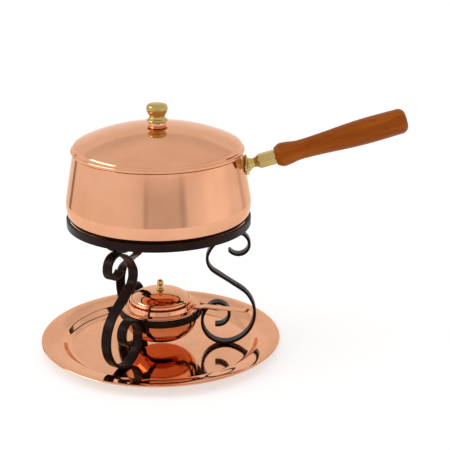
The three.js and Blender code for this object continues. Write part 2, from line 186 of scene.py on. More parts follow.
def smooth_curve(knots, steps=8):
    """A Catmull-Rom curve through the knots."""
    ends = [2 * knots[0] - knots[1], *knots, 2 * knots[-1] - knots[-2]]
    made = []
    for a, b, c, d in zip(ends, ends[1:], ends[2:], ends[3:]):
        for i in range(steps):
            t = i / steps
            made.append(0.5 * (2 * b + (c - a) * t + (2 * a - 5 * b + 4 * c - d) * t**2
                               + (3 * b - a - 3 * c + d) * t**3))
    return [*made, knots[-1]]


def eased(outline, radius, sharpest=28):
    """A closed outline with its sharp corners rounded. Points on the axis stay."""
    made = []
    for i, corner in enumerate(outline):
        before, after = outline[i - 1], outline[(i + 1) % len(outline)]
        back, on = before - corner, after - corner
        if min(corner.x, back.length, on.length) < ON_AXIS:
            made.append(corner)
            continue
        turn = math.pi - back.angle(on)
        if turn < math.radians(sharpest):
            made.append(corner)
            continue
        reach = min(radius * math.tan(turn / 2), 0.45 * back.length, 0.45 * on.length)
        start, end = corner + back.normalized() * reach, corner + on.normalized() * reach
        for j in range(6):
            t = j / 5
            made.append((1 - t) ** 2 * start + 2 * t * (1 - t) * corner + t**2 * end)
    return made


# ---- Meshes ----

def to_object(name, shape, materials):
    """A smooth-shaded object from a bmesh in millimetres, with sharp edges kept sharp."""
    sharp = math.radians(32)
    bmesh.ops.scale(shape, vec=Vector((MM, MM, MM)), verts=shape.verts)
    bmesh.ops.recalc_face_normals(shape, faces=shape.faces)
    for face in shape.faces:
        face.smooth = True
    for edge in shape.edges:
        if len(edge.link_faces) == 2 and edge.calc_face_angle() > sharp:
            edge.smooth = False
    mesh = bpy.data.meshes.new(name)
    shape.to_mesh(mesh)
    shape.free()
    for material in materials:
        mesh.materials.append(material)
    made = bpy.data.objects.new(name, mesh)
    bpy.context.scene.collection.objects.link(made)
    weights = made.modifiers.new("even_shading", "WEIGHTED_NORMAL")
    weights.keep_sharp = True
    return made


def loft(rings, closed=False, capped=False, shape=None):
    """A bmesh skinned over rings of points, or the given one with the skin added to it.

    A ring of one point is a pole. A closed skin joins its last ring to its first. A capped one has a flat
    face at each end.
    """
    if shape is None:
        shape = bmesh.new()
    rows = [[shape.verts.new(point) for point in ring] for ring in rings]
    pairs = list(zip(rows, rows[1:]))
    if closed:
        pairs.append((rows[-1], rows[0]))
    for a, b in pairs:
        count = max(len(a), len(b))
        if count == 1:
            continue
        for k in range(count):
            corners = [a[k % len(a)], a[(k + 1) % len(a)], b[(k + 1) % len(b)], b[k % len(b)]]
            shape.faces.new(dict.fromkeys(corners))
    if capped:
        shape.faces.new(rows[0])
        shape.faces.new(rows[-1])
    return shape


def turned(outline, turns=TURNS, closed=True, shape=None):
    """A bmesh turned about +Z from (radius, height) points. A point on the axis is a pole."""
    rings = [circle(radius, height, turns if radius > ON_AXIS else 1) for radius, height in outline]
    return loft(rings, closed, shape=shape)


def bar_section(width, thickness, corner, inset=0.0):
    """A rectangle with rounded corners, as (across, out) points."""
    across, out = width / 2 - inset, thickness / 2 - inset
    corner = max(corner - inset, 0.05)
    made = []
    for quarter, (sx, sy) in enumerate(((1, 1), (-1, 1), (-1, -1), (1, -1))):
        made += arc(sx * (across - corner), sy * (out - corner), corner, 90 * quarter, 90 * quarter + 90, 4)
    return made


def swept_bar(path, width, thickness, corner, seed=0, wander=0.0):
    """A bmesh of a flat bar along a path in the XZ plane, with eased ends and a slightly uneven face."""
    ease = min(0.8, thickness / 3)
    first, last = path[0], path[-1]
    stations = [(first, ease, 0.0), (first, ease * 0.3, ease * 0.3), (first, 0.0, ease)]
    stations += [(place, 0.0, 0.0) for place in path[1:-1]]
    stations += [(last, 0.0, -ease), (last, ease * 0.3, -ease * 0.3), (last, ease, 0.0)]
    rings = []
    for (x, z, angle), inset, along in stations:
        x += along * math.cos(angle)
        z += along * math.sin(angle)
        wobble = wander * noise.noise(Vector((x * 0.09, z * 0.09, seed)))
        ring = []
        for across, out in bar_section(width + 2 * wobble, thickness + wobble, corner, inset):
            ring.append(Vector((x - out * math.sin(angle), across, z + out * math.cos(angle))))
        rings.append(ring)
    return loft(rings, capped=True)


def bead(start, end, radius, seed):
    """A bmesh of a short run of weld: a rounded, rippled bead between two points."""
    axis = (end - start).normalized()
    side = axis.orthogonal().normalized()
    up = axis.cross(side)
    steps, around = 24, 14
    rings = []
    for i in range(steps + 1):
        t = i / steps
        swell = math.sin(math.pi * min(max(t, 0.02), 0.98)) ** 0.5
        ripple = 1 + 0.08 * abs(math.sin(5 * math.pi * t)) + 0.12 * noise.noise(Vector((t * 6, seed, 0)))
        centre = start.lerp(end, t)
        size = radius * swell * ripple
        rings.append([centre + size * (math.cos(a) * side + math.sin(a) * up) for a in spokes(around)])
    rings = [[start - axis * radius * 0.1], *rings, [end + axis * radius * 0.1]]
    return loft(rings)


# ---- Materials ----

def node(tree, kind, sockets=None, **settings):
    """Adds a node; a socket value that is itself a socket is linked."""
    made = tree.nodes.new(kind)
    for key, value in settings.items():
        setattr(made, key, value)
    for key, value in (sockets or {}).items():
        if isinstance(value, bpy.types.NodeSocket):
            tree.links.new(value, made.inputs[key])
        else:
            made.inputs[key].default_value = value
    return made


def new_material(name, **sockets):
    """A material with its Principled shader's constant sockets set."""
    material = bpy.data.materials.new(name)
    material.use_nodes = True
    shader = material.node_tree.nodes["Principled BSDF"]
    for key, value in sockets.items():
        shader.inputs[key.replace("_", " ")].default_value = value
    return material, material.node_tree, shader


def spread(tree, value, low_value, high_value, start=0.3, end=0.7):
    """Maps a noise value smoothly onto a range."""
    sockets = {"Value": value, "From Min": start, "From Max": end, "To Min": low_value, "To Max": high_value}
    return node(tree, "ShaderNodeMapRange", sockets, interpolation_type="SMOOTHSTEP").outputs["Result"]


def product(tree, first, second):
    """Multiplies two values."""
    return node(tree, "ShaderNodeMath", {0: first, 1: second}, operation="MULTIPLY").outputs[0]


def stretched(tree, vector, factors):
    """Multiplies a vector along its axes."""
    return node(tree, "ShaderNodeVectorMath", {0: vector, 1: factors}, operation="MULTIPLY").outputs[0]


def grain(tree, vector, scale, detail=3.0, roughness=0.55, stretch=(1, 1, 1)):
    """Noise over a vector stretched along its axes."""
    placed = stretched(tree, vector, stretch)
    sockets = {"Vector": placed, "Scale": scale, "Detail": detail, "Roughness": roughness}
    return node(tree, "ShaderNodeTexNoise", sockets).outputs["Fac"]


def blend(tree, factor, first, second):
    """Mixes two colours."""
    made = node(tree, "ShaderNodeMix", data_type="RGBA")
    tree.links.new(factor, made.inputs[0])
    for socket, value in ((made.inputs[6], first), (made.inputs[7], second)):
        if isinstance(value, bpy.types.NodeSocket):
            tree.links.new(value, socket)
        else:
            socket.default_value = (*value, 1)
    return made.outputs[2]


def turning_lines(tree, vector, per_metre):
    """Noise that runs in rings round +Z, like the marks of spinning and polishing on a lathe."""
    flat = stretched(tree, vector, (1, 1, 0))
    radius = node(tree, "ShaderNodeVectorMath", {0: flat}, operation="LENGTH").outputs["Value"]
    height = node(tree, "ShaderNodeSeparateXYZ", {0: vector}).outputs["Z"]
    along = node(tree, "ShaderNodeMath", {0: radius, 1: height}, operation="ADD").outputs[0]
    sockets = {"W": product(tree, along, per_metre), "Scale": 1.0, "Detail": 3.0, "Roughness": 0.6}
    return node(tree, "ShaderNodeTexNoise", sockets, noise_dimensions="1D").outputs["Fac"]


def bumps(tree, shader, layers):
    """Chains bump layers of (height, strength, distance in metres) into the shader's normal."""
    normal = None
    for height, strength, distance in layers:
        sockets = {"Height": height, "Strength": strength, "Distance": distance}
        if normal is not None:
            sockets["Normal"] = normal
        normal = node(tree, "ShaderNodeBump", sockets).outputs["Normal"]
    tree.links.new(normal, shader.inputs["Normal"])


def spun_metal(name, pale, deep, edge, smooth, dull, waviness):
    """Polished sheet metal spun on a lathe: rings of fine marks, soft smears and a slightly wavy face."""
    material, tree, shader = new_material(name, Metallic=1.0, Specular_Tint=(*edge, 1))
    vector = node(tree, "ShaderNodeTexCoord").outputs["Object"]
    smears = grain(tree, vector, 22, 4)
    rings = turning_lines(tree, vector, 900)
    mottle = grain(tree, vector, 55, 5, 0.65)
    scratches = grain(tree, vector, 260, 2, 0.5, (1, 1, 6))
    tone = blend(tree, spread(tree, smears, 0, 1), pale, deep)
    tone = blend(tree, spread(tree, mottle, 0, 0.25, 0.45, 0.8), tone, tuple(0.82 * c for c in deep))
    tree.links.new(tone, shader.inputs["Base Color"])
    worn = spread(tree, mottle, smooth, dull)
    streaked = spread(tree, rings, 0.85, 1.25)
    tree.links.new(product(tree, worn, streaked), shader.inputs["Roughness"])
    bumps(tree, shader, [
        (grain(tree, vector, 9, 1, 0.4), waviness, 0.0012),
        (rings, 0.06, 0.00008),
        (scratches, 0.04, 0.00004),
    ])
    return material


def painted_iron():
    """Satin black paint over hammered bar: a low orange-peel skin, brown undertone and rubbed spots."""
    material, tree, shader = new_material(
        "black_iron", Metallic=0.0, Specular_IOR_Level=0.12, Specular_Tint=(1.0, 0.64, 0.54, 1))
    vector = node(tree, "ShaderNodeTexCoord").outputs["Object"]
    cloud = spread(tree, grain(tree, vector, 35, 4), 0, 1)
    tone = blend(tree, cloud, (0.006, 0.0027, 0.0021), (0.012, 0.006, 0.0046))
    rubbed = spread(tree, grain(tree, vector, 120, 6, 0.7), 0, 0.5, 0.58, 0.75)
    tree.links.new(blend(tree, rubbed, tone, (0.026, 0.015, 0.011)), shader.inputs["Base Color"])
    tree.links.new(spread(tree, grain(tree, vector, 60, 4), 0.27, 0.42), shader.inputs["Roughness"])
    bumps(tree, shader, [
        (grain(tree, vector, 70, 2), 0.35, 0.0006),
        (grain(tree, vector, 700, 2), 0.12, 0.0001),
    ])
    return material


def varnished_wood():
    """Turned hardwood under satin varnish: long grain along the handle, darker pores and a soft figure."""
    material, tree, shader = new_material(
        "varnished_wood", Coat_Weight=0.05, Coat_Roughness=0.25, Specular_IOR_Level=0.12,
        Specular_Tint=(1.0, 0.7, 0.4, 1))
    vector = node(tree, "ShaderNodeTexCoord").outputs["Object"]
    sockets = {"Vector": vector, "Angle": -math.radians(90 - HANDLE_TILT)}
    vector = node(tree, "ShaderNodeVectorRotate", sockets, rotation_type="Y_AXIS").outputs[0]
    bend = grain(tree, vector, 14, 2, 0.5, (1, 1, 0.6))
    shifted = node(tree, "ShaderNodeVectorMath", {0: vector, 1: (0.02, 0.02, 0.02)}, operation="ADD")
    sway = node(tree, "ShaderNodeCombineXYZ", {"X": bend, "Y": bend, "Z": 0.0}).outputs[0]
    sway = stretched(tree, sway, (0.012, 0.012, 0))
    bent = node(tree, "ShaderNodeVectorMath", {0: shifted.outputs[0], 1: sway}, operation="ADD").outputs[0]
    rings = grain(tree, bent, 150, 4, 0.6, (1, 1, 0.07))
    pores = grain(tree, bent, 900, 3, 0.7, (1, 1, 0.035))
    cloud = grain(tree, vector, 30, 3, 0.5, (1, 1, 0.35))
    tone = blend(tree, spread(tree, rings, 0, 1, 0.32, 0.68), (0.245, 0.050, 0.0018), (0.335, 0.078, 0.003))
    tone = blend(tree, spread(tree, cloud, 0, 0.6), tone, (0.20, 0.036, 0.0015))
    tone = blend(tree, spread(tree, pores, 0, 0.75, 0.56, 0.72), tone, (0.075, 0.013, 0.001))
    tree.links.new(tone, shader.inputs["Base Color"])
    tree.links.new(spread(tree, rings, 0.34, 0.46), shader.inputs["Roughness"])
    bumps(tree, shader, [(pores, 0.12, 0.0001), (rings, 0.08, 0.0002)])
    return material


def bright_steel():
    """Plain drawn steel: fine drawing lines and a little dullness."""
    material, tree, shader = new_material("bright_steel", Metallic=1.0)
    vector = node(tree, "ShaderNodeTexCoord").outputs["Object"]
    lines = grain(tree, vector, 500, 3, 0.6, (1, 1, 0.15))
    tree.links.new(blend(tree, lines, (0.46, 0.45, 0.43), (0.62, 0.61, 0.59)), shader.inputs["Base Color"])
    tree.links.new(spread(tree, lines, 0.22, 0.38), shader.inputs["Roughness"])
    bumps(tree, shader, [(lines, 0.15, 0.0001)])
    return material


def tinned_lining():
    """The wiped tin inside the pot and its lid: greyer, softer smears than the copper."""
    material, tree, shader = new_material("tin_lining", Metallic=1.0)
    vector = node(tree, "ShaderNodeTexCoord").outputs["Object"]
    wipes = grain(tree, vector, 30, 5, 0.6, (1, 1, 3))
    rings = turning_lines(tree, vector, 500)
    tree.links.new(blend(tree, wipes, (0.66, 0.64, 0.60), (0.80, 0.79, 0.76)), shader.inputs["Base Color"])
    tree.links.new(spread(tree, wipes, 0.22, 0.40), shader.inputs["Roughness"])
    bumps(tree, shader, [(wipes, 0.2, 0.0004), (rings, 0.08, 0.0001)])
    return material


def mineral_wool():
    """Matted fibres, off-white with scorched patches."""
    material, tree, shader = new_material("mineral_wool", Roughness=0.95, Sheen_Weight=0.3)
    vector = node(tree, "ShaderNodeTexCoord").outputs["Object"]
    fibres = grain(tree, vector, 900, 5, 0.75, (1, 0.25, 1))
    patches = grain(tree, vector, 90, 4)
    tone = blend(tree, fibres, (0.42, 0.38, 0.31), (0.80, 0.76, 0.68))
    tone = blend(tree, spread(tree, patches, 0, 0.6, 0.5, 0.7), tone, (0.16, 0.12, 0.08))
    tree.links.new(tone, shader.inputs["Base Color"])
    bumps(tree, shader, [(fibres, 0.6, 0.0005)])
    return material


copper = spun_metal(
    "polished_copper", pale=(0.795, 0.402, 0.24), deep=(0.745, 0.358, 0.205), edge=(0.96, 0.82, 0.72),
    smooth=0.04, dull=0.09, waviness=0.25)
brass = spun_metal(
    "polished_brass", pale=(0.56, 0.42, 0.17), deep=(0.46, 0.31, 0.09), edge=(1, 0.95, 0.8),
    smooth=0.13, dull=0.2, waviness=0.05)
iron = painted_iron()
wood = varnished_wood()
steel = bright_steel()
tin = tinned_lining()
wool = mineral_wool()


# ---- Putting pieces on the frame ----

def piece(name, shape, body, slot, material, *nodes, place=None, extra=()):
    """Makes an object, rides it on its body and lets it stand for the CAD nodes it details."""
    if place is not None:
        bmesh.ops.transform(shape, matrix=place, verts=shape.verts)
    made = to_object(name, shape, [material, *extra])
    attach(made, body)
    if nodes:
        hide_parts(*nodes)


def about_z(degrees):
    """A turn about +Z."""
    return Matrix.Rotation(math.radians(degrees), 4, "Z")


def lift(height):
    """A move up +Z."""
    return Matrix.Translation(Vector((0, 0, height)))


# ---- Tray ----

def make_tray():
    """One spun sheet: a flat well, a sloping wall, a slightly crowned rim and a turned-down edge."""
    crowned = TRAY_RIM_WIDTH / math.radians(TRAY_RIM_CROWN)
    path = bent_path(0, TRAY_SHEET / 2, 0, [
        (TRAY_WELL_RADIUS,),
        (TRAY_FOOT_BEND, TRAY_WALL_SLOPE), (TRAY_WALL,), (TRAY_TOP_BEND, TRAY_RIM_CROWN - TRAY_WALL_SLOPE),
        (crowned, -TRAY_RIM_CROWN),
        (TRAY_EDGE_BEND, -TRAY_EDGE_TURN),
    ], step=1.5)
    outline = eased(thicken(path, TRAY_SHEET), 0.5)
    piece("copper_tray", turned(outline, LARGE_TURNS), "tray", "copper", copper, "tray")


# ---- Stand ----

LEG_TIP = (57.8, 24, -12)  # x, z and heading in degrees at the start of the lower scroll
LEG_BENDS = [
    (12.5, 234), (24.2, 154), (34.3, 130),
    (33.2,),
    (16.9, -82), (39.6, -51), (12.7, -92), (11.5, -158),
]


def make_ring(name, node_name, thickness, corner):
    """A flat bar bent on edge into a ring."""
    radius, bottom, top = high(node_name).x, low(node_name).z, high(node_name).z
    section = bar_section(thickness, top - bottom, corner)
    centre = (bottom + top) / 2
    outline = [Vector((radius - thickness / 2 + across, centre + up)) for across, up in section]
    piece(name, turned(outline, LARGE_TURNS), "stand", "iron", iron, node_name)


def rest_path():
    """The centreline of the short curved bar under the pot's rounded corner."""
    centre = low("pot_body").z + POT_CORNER
    radius = POT_CORNER + GAP + 0.1 + BAR / 2
    start, sweep, steps = -88, 50, 20
    made = []
    for i in range(steps + 1):
        angle = math.radians(start + sweep * i / steps)
        x, z = POT_FLAT_RADIUS + radius * math.cos(angle), centre + radius * math.sin(angle)
        made.append((x, z, angle + math.pi / 2))
    return made


def make_leg(number, angle):
    """A scroll leg with the rest that carries the pot, and their welds."""
    spin = about_z(angle)
    path = bent_path(*LEG_TIP, LEG_BENDS, step=4)
    leg = swept_bar(path, BAR_WIDTH, BAR, BAR_CORNER, seed=number, wander=0.25)
    piece(f"scroll_leg_{number}", leg, "stand", "iron", iron, f"leg_{number}", place=spin)
    rest = swept_bar(rest_path(), BAR_WIDTH, BAR, BAR_CORNER, seed=10 + number, wander=0.2)
    piece(f"curved_rest_{number}", rest, "stand", "iron", iron, f"pot_rest_{number}", place=spin)
    make_welds(number, spin)


def make_welds(number, spin):
    """The welds that hold a leg to the burner's ring, and a rest to its leg and to the pot's ring."""
    ring = high("burner_ring")
    end_x, end_z, _ = rest_path()[-1]
    crest_x, crest_z = 81, high("leg_1").z
    sides = (1 - BAR_WIDTH / 2, BAR_WIDTH / 2 - 1)
    up_ring = (Vector((ring.x + 0.4, 0, ring.z - 5.6)), Vector((ring.x + 1.8, 0, ring.z - 1.6)))
    on_crest = [Vector((crest_x, side, crest_z + 0.3)) for side in sides]
    on_end = [Vector((end_x + 0.7, side, end_z - 0.4)) for side in sides]
    for i, ((start, end), radius) in enumerate(((up_ring, 1.3), (on_crest, 1.5), (on_end, 1.3))):
        name = f"weld_{number}_{i + 1}"
        piece(name, bead(start, end, radius, 3 * number + i), "stand", "iron", iron, place=spin)


def make_weld_dab():
    """A stray dab of weld on the upper face of the first leg's long diagonal."""
    start, end = Vector((82.3, -3.4, 68.8)), Vector((82.3, -0.6, 68.8))
    piece("weld_dab", bead(start, end, 1.0, 7), "stand", "iron", iron)


# ---- Pot ----

POT_PATH = bent_path(0, low("pot_body").z + POT_SHEET / 2, 0, [
    (POT_FLAT_RADIUS,), (POT_CORNER - POT_SHEET / 2, 90 + WALL_LEAN), (WALL_LENGTH,),
])
RIM = POT_PATH[-1]
RIM_TOP = high("pot_body").z


def wall_radius(height):
    """The pot's outer radius at a height, on its straight wall."""
    lean = math.radians(WALL_LEAN)
    return RIM[0] + POT_SHEET / 2 * math.cos(lean) + (RIM_TOP - height) * math.tan(lean)


def make_pot():
    """The pot's sheet, copper outside and tinned on its inner side."""
    shape = turned(eased(thicken(POT_PATH, POT_SHEET), 0.7), LARGE_TURNS)
    for face in shape.faces:
        centre = face.calc_center_median()
        spot = Vector((math.hypot(centre.x, centre.y), centre.z))
        x, z, angle = min(POT_PATH, key=lambda place: (spot - Vector(place[:2])).length)
        inwards = Vector((-math.sin(angle), math.cos(angle))).dot(spot - Vector((x, z)))
        face.material_index = int(inwards > POT_SHEET * 0.3)
    piece("copper_pot", shape, "pot", "copper", copper, "pot_body", extra=[tin])


# ---- Handle ----

PLATE = 3
PLATE_RADIUS = 10.5    # round middle of the plate
PLATE_LOBE = 10.8      # from the plate's centre to each rivet
LOBE_RADIUS = 5
PLATE_CENTRE = (low("handle_plate").z + high("handle_plate").z) / 2


def on_wall(across, up, out):
    """A place beside the pot's wall: across and up from the handle plate's centre, out from the wall."""
    lean = math.radians(WALL_LEAN)
    height = PLATE_CENTRE + up * math.cos(lean)
    radius = wall_radius(height) + out * math.cos(lean)
    angle = across / wall_radius(PLATE_CENTRE)
    return Vector((radius * math.cos(angle), radius * math.sin(angle), height + out * math.sin(lean)))


def plate_outline():
    """The plate's edge: a round middle with a lobe at each side, joined by hollow curves."""
    return [
        *arc(-PLATE_LOBE, 0, LOBE_RADIUS, 110, 250, 14), *arc(0, 0, PLATE_RADIUS, 240, 300, 10),
        *arc(PLATE_LOBE, 0, LOBE_RADIUS, -70, 70, 14), *arc(0, 0, PLATE_RADIUS, 60, 120, 10),
    ]


def make_plate():
    """The handle's plate, bent to the wall, in layers outwards that narrow to a slightly domed face."""
    edge = plate_outline()
    layers = [(0.5, GAP), (0.97, GAP), (1.0, GAP + 0.4), (1.0, PLATE - 0.7), (0.985, PLATE - 0.2),
              (0.95, PLATE + 0.15), (0.88, PLATE + GAP), (0.7, PLATE + GAP), (0.4, PLATE + GAP)]
    rings = [[on_wall(0, 0, GAP)]]
    rings += [[on_wall(across * share, up * share, out) for across, up in edge] for share, out in layers]
    rings.append([on_wall(0, 0, PLATE + GAP)])
    piece("brass_plate", loft(rings), "pot", "brass", brass, "handle_plate")


def make_rivets():
    """A rivet through each lobe and the wall, with a low domed head at both ends."""
    outside, inside, head, shank = PLATE + GAP, -POT_SHEET, 2.6, 1.7
    outer_height, inner_height = 1.8, 1.6
    outer_head = dome(head, outside, outer_height)
    inner_head = dome(head * 0.95, inside, -inner_height)[::-1]
    profile = [*inner_head, *points((shank, inside), (shank, outside)), *outer_head]
    for number, across in enumerate((-PLATE_LOBE, PLATE_LOBE), 1):
        base = on_wall(across, 0, 0)
        normal = (on_wall(across, 0, 1) - base).normalized()
        place = Matrix.Translation(base) @ normal.to_track_quat("Z", "Y").to_matrix().to_4x4()
        shape = turned(profile, 48, closed=False)
        piece(f"plate_rivet_{number}", shape, "pot", "brass", brass, f"handle_rivet_{number}", place=place)


ALONG_HANDLE = Matrix.Translation(HANDLE_START) @ Matrix.Rotation(math.radians(90 - HANDLE_TILT), 4, "Y")


def make_neck():
    """The turned brass neck, cut off along the plate's sloping face."""
    outline = [
        *points((0, -14), (8, -14)),
        *smooth_curve(points(
            (8, -5), (7.5, -4.1), (6.7, -2.9), (5.8, -1.4),
            (5.05, 0.3), (4.75, 1.8), (5.0, 3.1), (5.6, 4.2)), 5),
        *points((4, 4.2), (4, 11), (0, 11)),
    ]
    shape = turned(outline, SMALL_TURNS, closed=False)
    bmesh.ops.transform(shape, matrix=ALONG_HANDLE, verts=shape.verts)
    seat = on_wall(0, 0, PLATE + GAP)
    outward = on_wall(0, 0, PLATE + 2) - seat
    everything = [*shape.verts, *shape.edges, *shape.faces]
    bmesh.ops.bisect_plane(shape, geom=everything, plane_co=seat, plane_no=outward, clear_inner=True)
    bmesh.ops.edgeloop_fill(shape, edges=[edge for edge in shape.edges if edge.is_boundary])
    piece("brass_neck", shape, "pot", "brass", brass, "handle_neck")


def make_ferrule():
    """A hexagonal ferrule round its bore. A cone at each end limits how far its corners reach."""
    bore, tip, lip = 4.3, 5.6, 0.35
    taper, step = 0.62, 0.3
    flats_start, spacing = 5.6, 1.1
    corner = FERRULE_ACROSS / math.sqrt(3)
    past_corner = corner + 0.5
    limits = [
        (tip - 0.6, 0.0),
        *[(tip + taper * step * i, lip + step * i) for i in range(17)],
        *[(past_corner, flats_start + spacing * i) for i in range(12)],
        (past_corner, FERRULE_LENGTH - 1),
        (corner - 0.1, FERRULE_LENGTH - 0.5),
        (corner - 0.7, FERRULE_LENGTH),
    ]
    rings = [circle(bore, 0, SMALL_TURNS)]
    for limit, height in limits:
        ring = []
        for a in spokes(SMALL_TURNS):
            flat = FERRULE_ACROSS / 2 / math.cos((a + math.pi / 6) % (math.pi / 3) - math.pi / 6)
            radius = min(limit, flat)
            ring.append(Vector((radius * math.cos(a), radius * math.sin(a), height)))
        rings.append(ring)
    rings.append(circle(bore, FERRULE_LENGTH, SMALL_TURNS))
    place = ALONG_HANDLE @ lift(FERRULE_START)
    piece("brass_ferrule", loft(rings, closed=True), "pot", "brass", brass, "handle_ferrule", place=place)


def make_grip():
    """The turned grip, hollow for the rod, with a rounded butt."""
    bore, bore_depth, butt = 3.3, 100, 7.6
    swell = smooth_curve(points(
        (9, 0), (12.1, 6), (11.6, 14), (10, 26), (10.9, 50), (12.7, 78), (13.3, 100), (12.9, 125)), 10)
    outline = [
        *points((bore, 0.6), (8.2, 0)), *swell,
        *arc(5.3, GRIP_LENGTH - butt, butt, 6, 84, 14),
        *points((3, GRIP_LENGTH - 0.05), (0, GRIP_LENGTH)),
        *points((0, bore_depth), (bore, bore_depth)),
    ]
    shape = turned(outline, SMALL_TURNS)
    place = ALONG_HANDLE @ lift(GRIP_START)
    piece("wooden_grip", shape, "pot", "wood", wood, "handle_grip", place=place)


# ---- Lid ----

BEAD_HEIGHT = RIM_TOP + GAP + LID_BEAD
CROWN = high("lid_shell").z
LID_EDGE = high("lid_shell").x - LID_BEAD


def make_lid():
    """The lid's domed sheet, tinned underneath, with a skirt inside the pot's rim and a rolled bead."""
    bends = [(CROWN_RADIUS, -23), (56, -7.5), (6.5, -48)]
    path = bent_path(SCREW_HOLE, CROWN - LID_SHEET / 2, 0, bends, step=1.5)
    skirt = RIM[0] - POT_SHEET / 2 - 1.2
    bottom = RIM_TOP - LID_SKIRT_DEPTH
    underside = offset(path, -LID_SHEET / 2)
    inner = points((skirt - LID_SHEET, BEAD_HEIGHT - 0.4), (skirt - LID_SHEET, bottom))
    outer = points((skirt, bottom), (skirt, RIM_TOP + GAP))
    rolled = arc(LID_EDGE, BEAD_HEIGHT, LID_BEAD, -90, 100, 16)
    outline = eased([*underside, *inner, *outer, *rolled, *offset(path, LID_SHEET / 2)[::-1]], 0.4)
    shape = turned(outline, LARGE_TURNS)
    for face in shape.faces:
        centre = face.calc_center_median()
        radius = math.hypot(centre.x, centre.y)
        in_skirt = radius < skirt - 0.9 and centre.z < BEAD_HEIGHT + 1
        crown_here = CROWN - CROWN_RADIUS + math.sqrt(CROWN_RADIUS**2 - radius**2)
        under_crown = radius < LID_SHOULDER and centre.z < crown_here - LID_SHEET * 0.7
        face.material_index = int(in_skirt or under_crown)
    piece("copper_lid", shape, "lid", "copper", copper, "lid_shell", extra=[tin])


def make_lid_knob():
    """The raised washer on the crown and the turned knob that the screw holds down on it."""
    boss_top, boss_radius = high("lid_boss").z, 8.7
    seat = CROWN + GAP - 0.25
    boss = eased(points(
        (SCREW_HOLE, seat), (boss_radius + 0.6, seat - 0.2), (boss_radius, seat + 1.0),
        (boss_radius, boss_top - 0.1), (SCREW_HOLE, boss_top)), 0.5)
    piece("copper_boss", turned(boss, SMALL_TURNS), "lid", "copper", copper, "lid_boss")
    base, height = low("lid_knob").z, high("lid_knob").z - low("lid_knob").z
    waist = smooth_curve(points(
        (10.9, 0.9), (10.3, 2.0), (8.8, 3.2), (7.9, 4.8), (8.3, 6.7), (9.6, 8.7),
        (10.6, 10.9), (10.95, 13.4), (10.5, 15.6), (9.2, 17.2), (6, height - 0.2), (0, height)), 6)
    foot, hole_end = points((SCREW_HOLE, 0), (9.4, 0), (10.4, 0.25)), points((0, 8), (SCREW_HOLE, 8))
    outline = [*foot, *waist, *hole_end]
    shape = turned([Vector((r, z + base)) for r, z in outline], SMALL_TURNS)
    piece("brass_knob", shape, "lid", "brass", brass, "lid_knob")


def make_screw(name, node_name, body, shank, head):
    """A round-headed screw pointing up, with a slot across its head."""
    bottom, top = low(node_name).z, high(node_name).z
    seat = bottom + head * 0.6
    slot_half, slot_depth = head * 0.16, head * 0.28
    round_head = dome(head, seat, bottom - seat)[::-1]
    outline = [*round_head, *points((shank, seat), (shank, top - 0.5), (shank - 0.5, top), (0, top))]
    shape = turned(outline, 48, closed=False)
    for vert in shape.verts:
        if abs(vert.co.y) < slot_half and vert.co.z < seat - head * 0.15:
            vert.co.z += slot_depth
    piece(name, shape, body, "steel", steel, node_name)


# ---- Burner ----

FLANGE_BOTTOM = high("burner_ring").z + GAP
FLANGE_TOP = FLANGE_BOTTOM + BURNER_SHEET
TOP_BOTTOM = low("burner_top").z
STEP_TOP = high("burner_top").z - 1


def make_bowl():
    """The fuel bowl: a flat bottom, a large round corner, a nearly upright wall and a flange."""
    turn, half = 84, BURNER_SHEET / 2
    bottom = low("burner_bowl").z
    corner = BURNER_CORNER * (1 - math.cos(math.radians(turn)))
    rise = (FLANGE_BOTTOM - bottom - half - corner) / math.sin(math.radians(turn))
    path = bent_path(0, bottom + half, 0, [(BURNER_BASE_RADIUS,), (BURNER_CORNER, turn), (rise,)])
    wall, inside = offset(path, -half)[:-1], offset(path, half)
    outline = [
        *wall, Vector((wall[-1].x + 0.1, FLANGE_BOTTOM)),
        *arc(BURNER_FLANGE_RADIUS - half, FLANGE_BOTTOM + half, half, -90, 90, 8),
        Vector((inside[-1].x + 0.4, FLANGE_TOP)), *inside[:-1][::-1],
    ]
    shape = turned(eased(outline, 0.4))
    piece("copper_burner_bowl", shape, "burner", "copper", copper, "burner_bowl")


def make_burner_top():
    """The plate that closes the bowl: a flat flange, a raised step and a lip round the opening."""
    low_z, high_z = TOP_BOTTOM, STEP_TOP - BURNER_SHEET
    outer, step, opening = BURNER_FLANGE_RADIUS, BURNER_STEP_RADIUS, BURNER_OPENING
    outline = eased(points(
        (opening, high_z), (step - 1.4, high_z), (step, low_z),
        (outer, low_z), (outer, low_z + BURNER_SHEET), (step + 0.7, low_z + BURNER_SHEET),
        (step - 0.5, STEP_TOP), (opening + 1.2, STEP_TOP),
        (opening + 1, STEP_TOP + 1), (opening, STEP_TOP + 1)), 0.9)
    piece("copper_burner_top", turned(outline), "burner", "copper", copper, "burner_top")


STRIP_UNDERSIDE = TOP_BOTTOM + BURNER_SHEET + GAP


def make_strip():
    """The burner's handle: a flat strip that rises a little past the flange and turns down at its end."""
    path = bent_path(BURNER_STEP_RADIUS + 0.9, STRIP_UNDERSIDE + STRIP / 2, 0, [
        (8,), (4, 16), (3,), (4, -18), (45.5,), (3, -62), (3,),
    ], step=6)
    shape = swept_bar(path, STRIP_WIDTH, STRIP, 0.4, seed=5, wander=0.05)
    piece("copper_strip", shape, "burner", "copper", copper, "burner_handle", place=about_z(STRIP_ANGLE))


